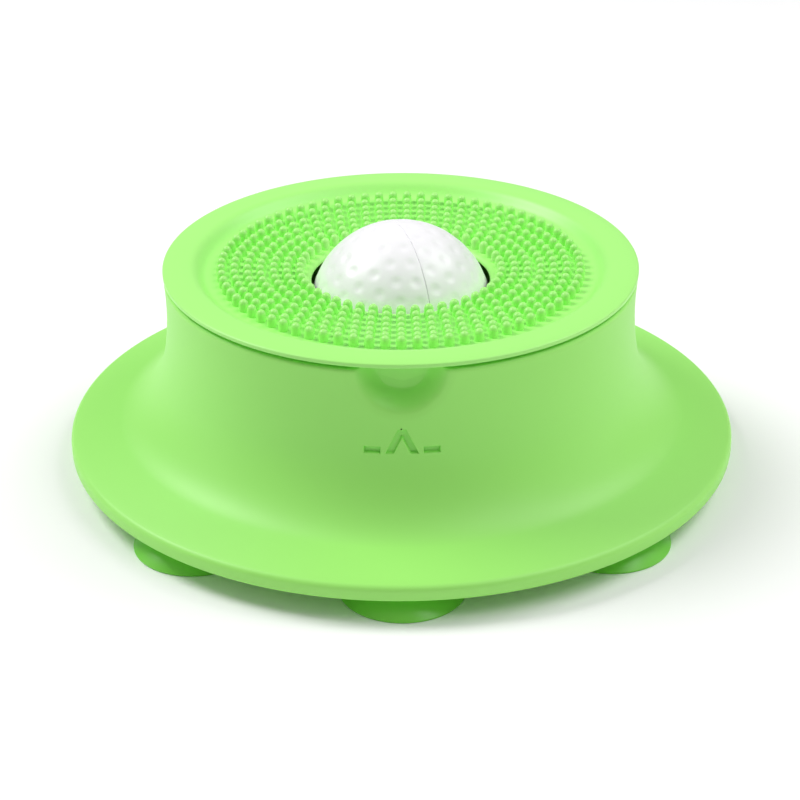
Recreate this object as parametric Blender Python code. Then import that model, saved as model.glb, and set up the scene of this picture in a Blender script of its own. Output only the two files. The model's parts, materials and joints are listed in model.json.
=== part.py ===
# Lick-ball treat feeder: a flared round base on suction cups, a food bowl inside it, a lid that prises off,
# and a dimpled ball that rolls in the food and stands proud of the lid.
#
# Units are metres and +Z is up. The origin is on the surface that the cups stand on, at the centre of the
# round base. The thumb notch faces -Y.

import math

import bmesh
import bpy
from mathutils import Matrix, Vector
from mathutils.geometry import interpolate_bezier

mm = 0.001

gap = 0.3 * mm  # between two pieces that touch or rest on each other
turned_steps = 48  # facets round a large turned piece

# Ball, and the lid's hole that it stands up through
ball_radius = 22.4 * mm
ball_wall = 2.0 * mm
ball_steps = 24
ball_seam_turn = 20.0  # degrees, of the seam's plane about Z
hole_rise = 9.6 * mm  # height of the hole's edge above the ball's centre
hole_clearance = 1.56 * mm

# Lid, from the hole outwards
nub_margin = 2.8 * mm  # from the hole's edge to the first ring of nubs
nub_rings = 7
nub_pitch = 3.17 * mm
nub_width = 2.1 * mm
nub_drop = 0.1 * mm  # of the last ring's tips below the lid's crown
nub_rise = 1.2 * mm  # of the last ring's tips above the first ring's
dish_margin = 2.42 * mm  # from the last ring of nubs to the dish's foot
dish_width = 5.8 * mm
dish_depth = 2.9 * mm  # of the dish's foot below the lid's crown
hole_drop = 1.5 * mm  # the floor falls this much from the foot to the hole
lid_crown_height = 1.4 * mm  # above the lid's underside
lid_crown_width = 3.2 * mm
lid_overhang = 0.1 * mm
lid_wall = 1.8 * mm
lid_gap = 0.4 * mm  # between the lid and the land it rests on

# Lid's plug and the seal round it
plug_room = 5.6 * mm  # from the dish's foot to the collar
plug_wall = 1.7 * mm
plug_length = 4.9 * mm
seal_height = 2.0 * mm
seal_thickness = 1.1 * mm
seal_lift = 1.1 * mm  # above the plug's end

# Collar and ledge inside the shell: they guide the lid and carry the bowl
collar_wall = 1.8 * mm
ledge_depth = 6.8 * mm  # below the land
ledge_width = 1.8 * mm
ledge_thickness = 1.6 * mm

# Outer shell of the base
land_width = 6.0 * mm  # the flat top that the lid rests on
shell_wall = 2.2 * mm
wall_corner = 0.7 * mm
wall_draft = 0.7 * mm  # how much wider the wall is at its foot
weld = 1.1 * mm  # how far a boss reaches into the shell above it
flare_width = 12.2 * mm
flare_rise = 23.0 * mm  # the wall's foot above the rim's underside
skirt_width = 12.0 * mm  # from the flare to the rim
skirt_slope = 15.0  # degrees
rim_height = 5.5 * mm  # underside of the rim above the surface
rim_face = 2.2 * mm  # upright edge, up to its rounded upper corner
rim_roll = 1.6 * mm  # radius of that corner
rim_edge = 0.5 * mm  # its small lower corner
rim_band = 5.0 * mm  # solid rim outside the bottom cover

# Thumb notch
notch_width = 23.0 * mm
notch_height = 12.4 * mm
notch_depth = 3.2 * mm
notch_wall = 1.4 * mm
notch_weld = 0.33 * mm  # how far its backing reaches into the wall

# Generic lift mark sunk in the wall below the notch: a chevron between two bars
mark_width = 17.2 * mm
mark_height = 5.6 * mm
mark_drop = 17.8 * mm  # its middle below the land
mark_depth = 0.8 * mm
chevron_width = 7.4 * mm
chevron_stroke = 1.8 * mm
mark_space = 1.2 * mm
mark_bar = 1.5 * mm

# Food bowl
bowl_lift = 4.3 * mm  # above the bottom cover
bowl_wall = 1.6 * mm
bowl_rim_thickness = 1.6 * mm
bowl_taper = 2.4 * mm
bowl_corner = 9.0 * mm
seat_height = 1.8 * mm  # the ball's lowest point above the bowl's floor
seat_radius = 11.0 * mm  # ring on the bowl's floor that the ball rolls on
seat_width = 2.4 * mm

# Bottom cover and its screws
cover_thickness = 1.6 * mm
cover_inset = 0.4 * mm  # above the rim's underside
cover_fit = 0.4 * mm  # between its edge and the rim
screw_count = 4
screw_offset = 1.7 * mm  # their ring outside the wall's foot
screw_turn = -67.5  # degrees, so that the screws stand between the cups
screw_radius = 1.5 * mm
screw_length = 6.0 * mm
screw_head_radius = 2.8 * mm
screw_head_height = 1.7 * mm
screw_head_flat = 2.0 * mm  # radius of the head's flat end
screw_steps = 12
boss_radius = 3.6 * mm
bore_tip_room = 0.6 * mm  # past the screw's tip

# Suction cups
cup_count = 8
cup_inset = 14.4 * mm  # their ring inside the rim
cup_radius = 14.7 * mm
cup_lip = 0.5 * mm
cup_lip_flat = 1.4 * mm
cup_wall = 1.5 * mm
cup_pad_radius = 6.5 * mm
cup_shoulder = 3.5 * mm  # how full the cup's back is outside its pad
cup_hollow = 7.3 * mm  # radius where its inside turns down to the lip
cup_neck_radius = 3.2 * mm
cup_head_radius = 4.8 * mm
cup_head_height = 1.3 * mm
cup_head_flat = 2.9 * mm
cup_steps = 16

# Places that follow: heights from the rim up, then radii from the ball outwards
cover_bottom = rim_height + cover_inset
cover_top = cover_bottom + cover_thickness
bowl_bottom = cover_top + bowl_lift
ball_height = bowl_bottom + bowl_wall + seat_height + ball_radius
lid_crown = ball_height + hole_rise + hole_drop + dish_depth
lid_underside = lid_crown - lid_crown_height
wall_top = lid_underside - lid_gap
flare_top = rim_height + flare_rise
ledge_top = wall_top - ledge_depth
plug_bottom = lid_underside - plug_length
seal_bottom = plug_bottom + seal_lift

hole_radius = math.sqrt(ball_radius**2 - hole_rise**2) + hole_clearance
nub_first_radius = hole_radius + nub_margin
dish_inner_radius = nub_first_radius + (nub_rings - 1) * nub_pitch + dish_margin
dish_outer_radius = dish_inner_radius + dish_width
collar_radius = dish_inner_radius + plug_room
wall_top_radius = collar_radius + land_width
lid_radius = wall_top_radius + lid_overhang
wall_foot_radius = wall_top_radius + wall_draft
skirt_inner_radius = wall_foot_radius + flare_width
rim_radius = skirt_inner_radius + skirt_width
cup_ring_radius = rim_radius - cup_inset
screw_ring_radius = wall_foot_radius + screw_offset


def clear_scene():
    for thing in list(bpy.data.objects):
        bpy.data.objects.remove(thing)


def plastic(name, colour, roughness, metallic=0.0):
    made = bpy.data.materials.new(name)
    made.use_nodes = True
    made.diffuse_color = (*colour, 1.0)
    shader = made.node_tree.nodes["Principled BSDF"]
    shader.inputs["Base Color"].default_value = (*colour, 1.0)
    shader.inputs["Roughness"].default_value = roughness
    shader.inputs["Metallic"].default_value = metallic
    return made


def polar(radius, degrees):
    angle = math.radians(degrees)
    return Vector((radius * math.cos(angle), radius * math.sin(angle)))


def arc(centre, radius, start, end, steps):
    return [centre + polar(radius, start + (end - start) * i / steps) for i in range(steps + 1)]


def bend(start, corner, end, steps, fullness=0.56):
    """A smooth curve from start to end, whose two ends point at corner."""
    handles = (start.lerp(corner, fullness), end.lerp(corner, fullness))
    return [point.to_2d() for point in interpolate_bezier(start, *handles, end, steps + 1)]


def crossing(point, direction, other, other_direction):
    """Where two lines in the profile's plane meet."""
    across = direction.cross(other_direction)
    return point + direction * ((other - point).cross(other_direction) / across)


def inset(points, distance):
    """An open run of profile points moved to its left by distance."""
    moved = []
    for i, point in enumerate(points):
        ahead = points[min(i + 1, len(points) - 1)]
        behind = points[max(i - 1, 0)]
        along = (ahead - behind).normalized()
        moved.append(point + Vector((-along.y, along.x)) * distance)
    return moved


def add_object(name, mesh, material, place=(0.0, 0.0, 0.0), crease=35.0):
    mesh.materials.append(material)
    mesh.shade_smooth()
    mesh.set_sharp_from_angle(angle=math.radians(crease))
    made = bpy.data.objects.new(name, mesh)
    made.location = place
    bpy.context.scene.collection.objects.link(made)
    return made


def close_mesh(name, shape):
    """Ends a bmesh: merges its doubles, turns its faces outwards, and gives the mesh."""
    bmesh.ops.remove_doubles(shape, verts=shape.verts, dist=0.001 * mm)
    bmesh.ops.recalc_face_normals(shape, faces=shape.faces)
    mesh = bpy.data.meshes.new(name)
    shape.to_mesh(mesh)
    shape.free()
    return mesh


def turned_mesh(name, profile, steps=turned_steps):
    """Spins a profile of (radius, height) points about Z: a loop, unless both its ends are on the axis."""
    shape = bmesh.new()
    verts = [shape.verts.new((point[0], 0.0, point[1])) for point in profile]
    for first, second in zip(verts, verts[1:]):
        shape.edges.new((first, second))
    if profile[0][0] > 0.0:
        shape.edges.new((verts[-1], verts[0]))
    outline = shape.verts[:] + shape.edges[:]
    bmesh.ops.spin(
        shape, geom=outline, axis=(0, 0, 1), cent=(0, 0, 0), angle=math.tau, steps=steps, use_merge=True
    )
    return close_mesh(name, shape)


def cutter(name, mesh):
    made = bpy.data.objects.new(name, mesh)
    bpy.context.scene.collection.objects.link(made)
    made.hide_render = True
    made.display_type = "WIRE"
    return made


def boolean(target, tool, operation):
    step = target.modifiers.new(f"{operation.lower()}_{tool.name}", "BOOLEAN")
    step.operation = operation
    step.solver = "EXACT"
    step.object = tool


def pin_mesh(name, radius, bottom, top, steps):
    """A plain round disc or pin, whose ends are single faces."""
    shape = bmesh.new()
    middle = Matrix.Translation((0.0, 0.0, (bottom + top) / 2))
    size = {"radius1": radius, "radius2": radius, "depth": top - bottom}
    bmesh.ops.create_cone(shape, cap_ends=True, segments=steps, matrix=middle, **size)
    return close_mesh(name, shape)


def ring_places(count, radius, first_turn=-90.0):
    return [Vector((*polar(radius, first_turn + 360.0 * i / count), 0.0)) for i in range(count)]


def shell_outside():
    """The shell's outer line in two runs: round the rim, then up the skirt, the flare and the wall."""
    roll_centre = Vector((rim_radius - rim_roll, rim_height + rim_face))
    roll = arc(roll_centre, rim_roll, 0.0, 90.0 - skirt_slope, 4)
    down_skirt = polar(1.0, -skirt_slope)
    foot = roll[-1] - down_skirt * ((roll[-1].x - skirt_inner_radius) / down_skirt.x)
    wall_foot = Vector((wall_foot_radius, flare_top))
    wall_end = Vector((wall_top_radius, wall_top - wall_corner))
    corner = crossing(foot, down_skirt, wall_foot, wall_end - wall_foot)
    flare = bend(foot, corner, wall_foot, 7)
    lower_corner = Vector((rim_radius - rim_edge, rim_height))
    face_foot = Vector((rim_radius, rim_height + rim_edge))
    return [lower_corner, face_foot, *roll[:-1]], [roll[-1], *flare, wall_end]


def shell_inside(rise):
    """The shell's inner line, a wall inside the rise, from the rim's band to the land's underside."""
    line = inset(rise, shell_wall)
    band_inner = rim_radius - rim_band
    share = (line[0].x - band_inner) / (line[0].x - line[1].x)
    line[0] = line[0].lerp(line[1], share)
    line[-1].y = wall_top - shell_wall
    return line


def base_shell(material):
    rim, rise = shell_outside()
    inside = shell_inside(rise)
    land_corner = Vector((wall_top_radius - wall_corner, wall_top))
    band_foot = Vector((rim_radius - rim_band, rim_height))
    collar_outer = collar_radius + collar_wall
    ledge_bottom = ledge_top - ledge_thickness
    collar = [
        Vector((collar_radius, wall_top)),
        Vector((collar_radius, ledge_top)),
        Vector((collar_radius - ledge_width, ledge_top)),
        Vector((collar_radius - ledge_width, ledge_bottom)),
        Vector((collar_outer, ledge_bottom)),
        Vector((collar_outer, wall_top - shell_wall)),
    ]
    profile = [*rim, *rise, land_corner, *collar, *reversed(inside), band_foot]
    mesh = turned_mesh("base_shell", profile)
    shell = add_object("base_shell", mesh, material)

    pocket = cutter("notch_pocket", notch_mesh(notch_wall))
    pocket_edge = wall_top_radius - shell_wall + notch_weld
    core = pin_mesh("pocket_core", pocket_edge, flare_top, wall_top - weld, turned_steps)
    boolean(pocket, cutter("pocket_core", core), "INTERSECT")
    boolean(shell, pocket, "UNION")
    for i, place in enumerate(ring_places(screw_count, screw_ring_radius, screw_turn)):
        boss = cutter(f"boss_{i + 1}", boss_mesh())
        boss.location = place
        boolean(shell, boss, "UNION")
    boolean(shell, cutter("notch_scoop", notch_mesh(0.0)), "DIFFERENCE")
    for i, place in enumerate(ring_places(screw_count, screw_ring_radius, screw_turn)):
        bore = cutter(f"boss_bore_{i + 1}", bore_mesh())
        bore.location = place
        boolean(shell, bore, "DIFFERENCE")
    for i, outline in enumerate(mark_outlines()):
        boolean(shell, cutter(f"mark_{i + 1}", mark_mesh(outline)), "DIFFERENCE")
    return shell


def notch_mesh(margin):
    """The scoop's ellipsoid, margin larger all round."""
    shape = bmesh.new()
    bmesh.ops.create_uvsphere(shape, u_segments=24, v_segments=12, radius=1.0)
    half_width = notch_width / 2 + margin
    edge_back = math.sqrt(wall_top_radius**2 - (notch_width / 2) ** 2)
    middle = Vector((0.0, -(wall_top_radius + edge_back) / 2, wall_top))
    deepest = wall_top_radius - notch_depth - margin
    size = Matrix.Diagonal((half_width, -middle.y - deepest, notch_height + margin, 1.0))
    bmesh.ops.transform(shape, matrix=Matrix.Translation(middle) @ size, verts=shape.verts)
    return close_mesh("notch", shape)


def flare_underside(radius):
    """Height of the shell's inner face above the skirt and flare, at this distance from the axis."""
    line = shell_inside(shell_outside()[1])
    for outer, inner in zip(line, line[1:]):
        if inner.x <= radius <= outer.x:
            share = (outer.x - radius) / (outer.x - inner.x)
            return outer.y + (inner.y - outer.y) * share
    return line[-1].y


def boss_mesh():
    top = flare_underside(screw_ring_radius + boss_radius) + weld
    return pin_mesh("boss", boss_radius, cover_top + gap, top, screw_steps)


def bore_mesh():
    top = cover_bottom + screw_length + bore_tip_room
    return pin_mesh("bore", screw_radius + gap, cover_top, top, screw_steps)


def mark_outlines():
    """Outlines in (across, up) from the mark's middle: on each side a chevron's stroke and a bar."""
    half = mark_height / 2
    reach = chevron_width / 2
    tip = chevron_stroke / 2
    outlines = []
    for side in (-1, 1):
        left, right = sorted((side * reach, side * (reach - chevron_stroke)))
        outlines.append([(left, -half), (right, -half), (tip, half), (-tip, half)])
        left, right = sorted((side * (reach + mark_space), side * mark_width / 2))
        outlines.append([(left, -half), (right, -half), (right, mark_bar - half), (left, mark_bar - half)])
    return outlines


def mark_mesh(outline):
    """A straight punch with this outline, from mark_depth inside the wall to clear of it."""
    mark_middle = wall_top - mark_drop
    share = (mark_middle - flare_top) / (wall_top - flare_top)
    surface = wall_foot_radius + (wall_top_radius - wall_foot_radius) * share
    shape = bmesh.new()
    verts = []
    for across, up in outline:
        back = -math.sqrt((surface - mark_depth) ** 2 - across**2)
        verts.append(shape.verts.new((across, back, mark_middle + up)))
    face = shape.faces.new(verts)
    grown = bmesh.ops.extrude_face_region(shape, geom=[face])
    moved = [part for part in grown["geom"] if isinstance(part, bmesh.types.BMVert)]
    bmesh.ops.translate(shape, verts=moved, vec=(0.0, -shell_wall, 0.0))
    return close_mesh("mark", shape)


def food_bowl(material):
    rim = collar_radius - gap
    rim_bottom = ledge_top + gap
    rim_top = rim_bottom + bowl_rim_thickness
    neck = collar_radius - ledge_width - gap
    floor_top = bowl_bottom + bowl_wall
    outer_foot = Vector((neck - bowl_taper, bowl_bottom + bowl_corner))
    outer_flat = Vector((outer_foot.x - bowl_corner, bowl_bottom))
    outer = bend(outer_flat, Vector((outer_foot.x, bowl_bottom)), outer_foot, 4)
    inner_foot = outer_foot - Vector((bowl_wall, 0.0))
    inner_flat = outer_flat + Vector((0.0, bowl_wall))
    inner = bend(inner_foot, Vector((inner_foot.x, floor_top)), inner_flat, 4)
    # The seat's top follows the ball, a gap away from it
    seat = []
    for radius in (seat_radius + seat_width / 2, seat_radius - seat_width / 2):
        under_ball = ball_height - math.sqrt((ball_radius + gap) ** 2 - radius**2)
        seat.append((radius, under_ball))
    seat = [(seat[0][0], floor_top), *seat, (seat[1][0], floor_top)]
    profile = [
        (0.0, bowl_bottom),
        *outer,
        (neck, rim_bottom),
        (rim, rim_bottom),
        (rim, rim_top),
        (neck - bowl_wall, rim_top),
        *inner,
        *seat,
        (0.0, floor_top),
    ]
    return add_object("food_bowl", turned_mesh("food_bowl", profile), material)


def lid_top(radius):
    """Height of the lid's floor between the dish's foot and the hole."""
    share = (dish_inner_radius - radius) / (dish_inner_radius - hole_radius)
    return lid_crown - dish_depth - hole_drop * share


def lid(material):
    outer = Vector((lid_radius, lid_underside))
    crown_point = Vector((lid_radius - lid_crown_width, lid_crown))
    edge = bend(outer, Vector((lid_radius, lid_crown)), crown_point, 3)
    dish_edge = Vector((dish_outer_radius, lid_crown))
    dish_foot = Vector((dish_inner_radius, lid_top(dish_inner_radius)))
    middle = (dish_outer_radius + dish_inner_radius) / 2
    upper = bend(dish_edge, Vector((middle, lid_crown)), dish_foot, 3, fullness=0.8)
    ridges = []
    for ring in reversed(range(nub_rings)):
        radius = nub_first_radius + ring * nub_pitch
        outside, inside = radius + nub_width / 2, radius - nub_width / 2
        below_last = nub_rise * (1 - (ring / (nub_rings - 1)) ** 3)
        tip = lid_crown - nub_drop - below_last
        ridges += [(outside, lid_top(outside)), (radius, tip), (inside, lid_top(inside))]
    floor_under = lid_top(hole_radius) - lid_wall
    plug_outer = collar_radius - gap - seal_thickness / 2 - gap
    profile = [
        *edge,
        *upper,
        *ridges,
        (hole_radius, lid_top(hole_radius)),
        (hole_radius, floor_under),
        (plug_outer - plug_wall, floor_under),
        (plug_outer - plug_wall, plug_bottom),
        (plug_outer, plug_bottom),
        *seal_groove(plug_outer),
        (plug_outer, lid_underside),
    ]
    return add_object("lid", turned_mesh("lid", profile), material)


def seal_groove(plug_outer):
    bottom = seal_bottom - gap
    top = seal_bottom + seal_height + gap
    depth = collar_radius - 2 * gap - seal_thickness
    return [(plug_outer, bottom), (depth, bottom), (depth, top), (plug_outer, top)]


def lid_seal(material):
    outer = collar_radius - gap
    inner = outer - seal_thickness
    middle = seal_bottom + seal_height / 2
    quarter = seal_height / 4
    profile = [
        (inner, seal_bottom),
        (outer - quarter, seal_bottom),
        (outer, middle - quarter),
        (outer, middle + quarter),
        (outer - quarter, seal_bottom + seal_height),
        (inner, seal_bottom + seal_height),
    ]
    return add_object("lid_seal", turned_mesh("lid_seal", profile), material)


def ball_halves(material):
    """Two hollow halves whose seam is upright, a gap apart, with their origin at the ball's centre."""
    axis = bpy.data.objects.new("ball_axis", None)
    axis.location = (0.0, 0.0, ball_height)
    bpy.context.scene.collection.objects.link(axis)
    seam = gap / 2
    for name, turn in (("ball_half_left", 180.0), ("ball_half_right", 0.0)):
        outer_start = math.degrees(math.asin(seam / ball_radius))
        inner_radius = ball_radius - ball_wall
        inner_start = math.degrees(math.asin(seam / inner_radius))
        outside = arc(Vector((0, 0)), ball_radius, outer_start, 90.0, ball_steps // 4)
        inside = arc(Vector((0, 0)), inner_radius, 90.0, inner_start, ball_steps // 4)
        for point in (outside[-1], inside[0]):
            point.x = 0.0
        # The halves are turned about Z, then laid on their side
        mesh = turned_mesh(name, [*reversed(outside), *reversed(inside)], ball_steps)
        mesh.transform(Matrix.Rotation(math.radians(90.0), 4, "Y"))
        half = add_object(name, mesh, material)
        half.parent = axis
        half.rotation_euler = (0.0, 0.0, math.radians(turn + ball_seam_turn))


def bottom_cover(material):
    radius = rim_radius - rim_band - cover_fit
    mesh = pin_mesh("bottom_cover", radius, cover_bottom, cover_top, turned_steps)
    cover = add_object("bottom_cover", mesh, material)
    holes = [(place, cup_neck_radius) for place in ring_places(cup_count, cup_ring_radius)]
    holes += [(place, screw_radius) for place in ring_places(screw_count, screw_ring_radius, screw_turn)]
    for i, (place, radius) in enumerate(holes):
        punch = pin_mesh("hole", radius + gap, cover_bottom - mm, cover_top + mm, screw_steps)
        hole = cutter(f"cover_hole_{i + 1}", punch)
        hole.location = place
        boolean(cover, hole, "DIFFERENCE")
    return cover


def cover_screws(material):
    head_top = cover_bottom - gap
    head_bottom = head_top - screw_head_height
    tip = cover_bottom + screw_length
    profile = [
        (0.0, head_bottom),
        (screw_head_flat, head_bottom),
        (screw_head_radius, head_bottom + screw_head_height / 2),
        (screw_head_radius, head_top),
        (screw_radius, head_top),
        (screw_radius, tip - screw_radius),
        (0.0, tip),
    ]
    for i, place in enumerate(ring_places(screw_count, screw_ring_radius, screw_turn)):
        add_object(f"cover_screw_{i + 1}", turned_mesh("cover_screw", profile, screw_steps), material, place)


def suction_cups(material):
    pad_top = cover_bottom - gap
    head_bottom = cover_top + gap
    lip_inner = cup_radius - cup_lip_flat
    outer = bend(
        Vector((cup_radius, cup_lip)),
        Vector((cup_pad_radius + cup_shoulder, pad_top)),
        Vector((cup_pad_radius, pad_top)),
        3,
    )
    inner = bend(
        Vector((0.0, pad_top - cup_wall)),
        Vector((cup_hollow, pad_top - cup_wall)),
        Vector((lip_inner, 0.0)),
        3,
    )
    profile = [
        *inner,
        (cup_radius, 0.0),
        *outer,
        (cup_neck_radius, pad_top),
        (cup_neck_radius, head_bottom),
        (cup_head_radius, head_bottom),
        (cup_head_flat, head_bottom + cup_head_height),
        (0.0, head_bottom + cup_head_height),
    ]
    for i, place in enumerate(ring_places(cup_count, cup_ring_radius)):
        mesh = turned_mesh("suction_cup", profile, cup_steps)
        cup = add_object(f"suction_cup_{i + 1}", mesh, material, place)
        cup.rotation_euler.z = math.tau * i / cup_count


def main():
    clear_scene()
    shell_green = plastic("shell_green", (0.22, 0.62, 0.10), roughness=0.42)
    lid_green = plastic("lid_green", (0.30, 0.78, 0.16), roughness=0.45)
    cup_green = plastic("cup_green", (0.16, 0.50, 0.07), roughness=0.38)
    ball_white = plastic("ball_white", (0.86, 0.85, 0.86), roughness=0.35)
    seal_silicone = plastic("seal_silicone", (0.75, 0.82, 0.72), roughness=0.5)
    screw_steel = plastic("screw_steel", (0.60, 0.60, 0.62), roughness=0.3, metallic=1.0)

    base_shell(shell_green)
    food_bowl(shell_green)
    bottom_cover(shell_green)
    cover_screws(screw_steel)
    suction_cups(cup_green)
    lid(lid_green)
    lid_seal(seal_silicone)
    ball_halves(ball_white)


main()
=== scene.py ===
import json
import math

import bmesh
import bpy
from mathutils import Matrix, Vector
from mathutils.geometry import interpolate_bezier

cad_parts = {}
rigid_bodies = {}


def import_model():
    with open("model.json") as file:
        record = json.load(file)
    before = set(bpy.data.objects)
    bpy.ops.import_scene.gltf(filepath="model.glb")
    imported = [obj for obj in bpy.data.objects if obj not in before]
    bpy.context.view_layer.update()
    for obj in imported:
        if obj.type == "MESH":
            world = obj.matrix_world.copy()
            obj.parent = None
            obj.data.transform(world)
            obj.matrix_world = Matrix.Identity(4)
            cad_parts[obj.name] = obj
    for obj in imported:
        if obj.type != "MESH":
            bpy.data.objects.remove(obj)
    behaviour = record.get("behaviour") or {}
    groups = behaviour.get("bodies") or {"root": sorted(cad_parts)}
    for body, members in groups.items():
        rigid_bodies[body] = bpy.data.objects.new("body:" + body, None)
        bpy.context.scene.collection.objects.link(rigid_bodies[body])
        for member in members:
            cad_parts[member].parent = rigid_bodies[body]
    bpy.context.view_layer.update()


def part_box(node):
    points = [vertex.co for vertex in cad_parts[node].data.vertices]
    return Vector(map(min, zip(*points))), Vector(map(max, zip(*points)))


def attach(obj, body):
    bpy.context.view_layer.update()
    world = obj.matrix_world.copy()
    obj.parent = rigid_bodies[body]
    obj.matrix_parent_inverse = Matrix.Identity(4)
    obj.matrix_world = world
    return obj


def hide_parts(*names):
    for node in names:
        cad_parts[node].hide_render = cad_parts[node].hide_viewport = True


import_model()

mm = 0.001
front = -90.0  # degrees about Z, the side with the thumb notch


# Small tools

def linearColour(text):
    values = [int(text[i:i + 2], 16) / 255 for i in (0, 2, 4)]
    return (*[v / 12.92 if v <= 0.04045 else ((v + 0.055) / 1.055) ** 2.4 for v in values], 1.0)


def addNode(tree, kind, settings=None, inputs=None):
    node = tree.nodes.new(kind)
    for name, value in (settings or {}).items():
        setattr(node, name, value)
    for key, value in (inputs or {}).items():
        if isinstance(value, bpy.types.NodeSocket):
            tree.links.new(value, node.inputs[key])
        else:
            node.inputs[key].default_value = value
    return node


def smoothStep(low, high, value):
    share = min(max((value - low) / (high - low), 0.0), 1.0)
    return share * share * (3 - 2 * share)


def polar(radius, degrees):
    angle = math.radians(degrees)
    return Vector((radius * math.cos(angle), radius * math.sin(angle)))


def bend(start, corner, end, steps, fullness=0.56):
    handles = (start.lerp(corner, fullness), end.lerp(corner, fullness))
    return [point.to_2d() for point in interpolate_bezier(start, *handles, end, steps + 1)]


def rounded(corners, steps=4):
    # A loop through (radius, height, fillet) corners; a fillet of 0 leaves a sharp one
    line = []
    for i, (radius, height, fillet) in enumerate(corners):
        here = Vector((radius, height))
        back = Vector(corners[i - 1][:2]) - here
        ahead = Vector(corners[(i + 1) % len(corners)][:2]) - here
        if fillet == 0.0:
            line.append(here)
            continue
        reach = fillet / math.tan(back.angle(ahead) / 2)
        reach = min(reach, 0.49 * back.length, 0.49 * ahead.length)
        line += bend(here + back.normalized() * reach, here, here + ahead.normalized() * reach, steps)
    return line


def divided(points, longest):
    # The same open line with no stretch longer than longest
    line = [points[0]]
    for start, end in zip(points, points[1:]):
        parts = max(1, math.ceil((end - start).length / longest))
        line += [start.lerp(end, (i + 1) / parts) for i in range(parts)]
    return line


def evenAngles(count):
    return [front + 360.0 * i / count for i in range(count)]


def turned(name, profile, angles):
    # A closed profile spun about Z, with a column of points at each angle
    shape = bmesh.new()
    columns = []
    for angle in angles:
        turn = polar(1.0, angle)
        columns.append([shape.verts.new((p.x * turn.x, p.x * turn.y, p.y)) for p in profile])
    for i, column in enumerate(columns):
        after = columns[(i + 1) % len(columns)]
        for j in range(len(profile)):
            k = (j + 1) % len(profile)
            if max(profile[j].x, profile[k].x) > 0.0:
                shape.faces.new((column[j], after[j], after[k], column[k]))
    return closedMesh(name, shape)


def closedMesh(name, shape):
    bmesh.ops.remove_doubles(shape, verts=shape.verts, dist=0.0005 * mm)
    bmesh.ops.dissolve_degenerate(shape, edges=shape.edges, dist=0.0005 * mm)
    bmesh.ops.recalc_face_normals(shape, faces=shape.faces)
    mesh = bpy.data.meshes.new(name)
    shape.to_mesh(mesh)
    shape.free()
    return mesh


def addPiece(name, mesh, material=None, crease=38.0):
    piece = bpy.data.objects.new(name, mesh)
    bpy.context.scene.collection.objects.link(piece)
    if material:
        mesh.materials.clear()
        mesh.materials.append(material)
    mesh.shade_smooth()
    mesh.set_sharp_from_angle(angle=math.radians(crease))
    return piece


def settled(piece):
    # What the modifiers make, as a plain mesh
    graph = bpy.context.evaluated_depsgraph_get()
    mesh = bpy.data.meshes.new_from_object(piece.evaluated_get(graph), depsgraph=graph)
    piece.modifiers.clear()
    piece.data = mesh


def nodeTree(name, inputs):
    # A Geometry Nodes tree with named inputs: (name, kind, value)
    tree = bpy.data.node_groups.new(name, "GeometryNodeTree")
    tree.interface.new_socket("Geometry", in_out="INPUT", socket_type="NodeSocketGeometry")
    tree.interface.new_socket("Geometry", in_out="OUTPUT", socket_type="NodeSocketGeometry")
    for label, kind, value in inputs:
        socket = tree.interface.new_socket(label, in_out="INPUT", socket_type=kind)
        if value is not None:
            socket.default_value = value
    start = tree.nodes.new("NodeGroupInput")
    end = tree.nodes.new("NodeGroupOutput")
    return tree, start.outputs, end.inputs["Geometry"]


def grow(piece, tree, values):
    # Runs the tree on the piece with these input values and keeps the result
    step = piece.modifiers.new("grow", "NODES")
    step.node_group = tree
    sockets = {item.name: item.identifier for item in tree.interface.items_tree if item.in_out == "INPUT"}
    for label, value in values.items():
        step[sockets[label]] = value
    settled(piece)


def makeRingTree():
    # Copies a part on even places round Z, each turned to face outwards
    tree, given, end = nodeTree("ringed", [
        ("Count", "NodeSocketInt", 4),
        ("Radius", "NodeSocketFloat", 0.05),
        ("First Turn", "NodeSocketFloat", 0.0),
        ("Material", "NodeSocketMaterial", None),
    ])
    ring = addNode(tree, "GeometryNodeMeshCircle", inputs={
        "Vertices": given["Count"], "Radius": given["Radius"]})
    index = addNode(tree, "GeometryNodeInputIndex")
    part = addNode(tree, "ShaderNodeMath", {"operation": "DIVIDE"}, {0: index.outputs[0], 1: given["Count"]})
    turn = addNode(tree, "ShaderNodeMath", {"operation": "MULTIPLY"}, {0: part.outputs[0], 1: math.tau})
    facing = addNode(tree, "ShaderNodeCombineXYZ", inputs={"Z": turn.outputs[0]})
    copies = addNode(tree, "GeometryNodeInstanceOnPoints", inputs={
        "Points": ring.outputs["Mesh"], "Instance": given["Geometry"], "Rotation": facing.outputs[0]})
    first = addNode(tree, "ShaderNodeCombineXYZ", inputs={"Z": given["First Turn"]})
    placed = addNode(tree, "GeometryNodeTransform", inputs={
        "Geometry": copies.outputs[0], "Rotation": first.outputs[0]})
    real = addNode(tree, "GeometryNodeRealizeInstances", inputs={"Geometry": placed.outputs[0]})
    painted = addNode(tree, "GeometryNodeSetMaterial", inputs={
        "Geometry": real.outputs[0], "Material": given["Material"]})
    tree.links.new(painted.outputs[0], end)
    return tree


ringTree = makeRingTree()


# Materials

def plainMaterial(name, shaderValues):
    material = bpy.data.materials.new(name)
    material.use_nodes = True
    shader = material.node_tree.nodes["Principled BSDF"]
    for key, value in shaderValues.items():
        shader.inputs[key].default_value = value
    return material, material.node_tree, shader


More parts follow.
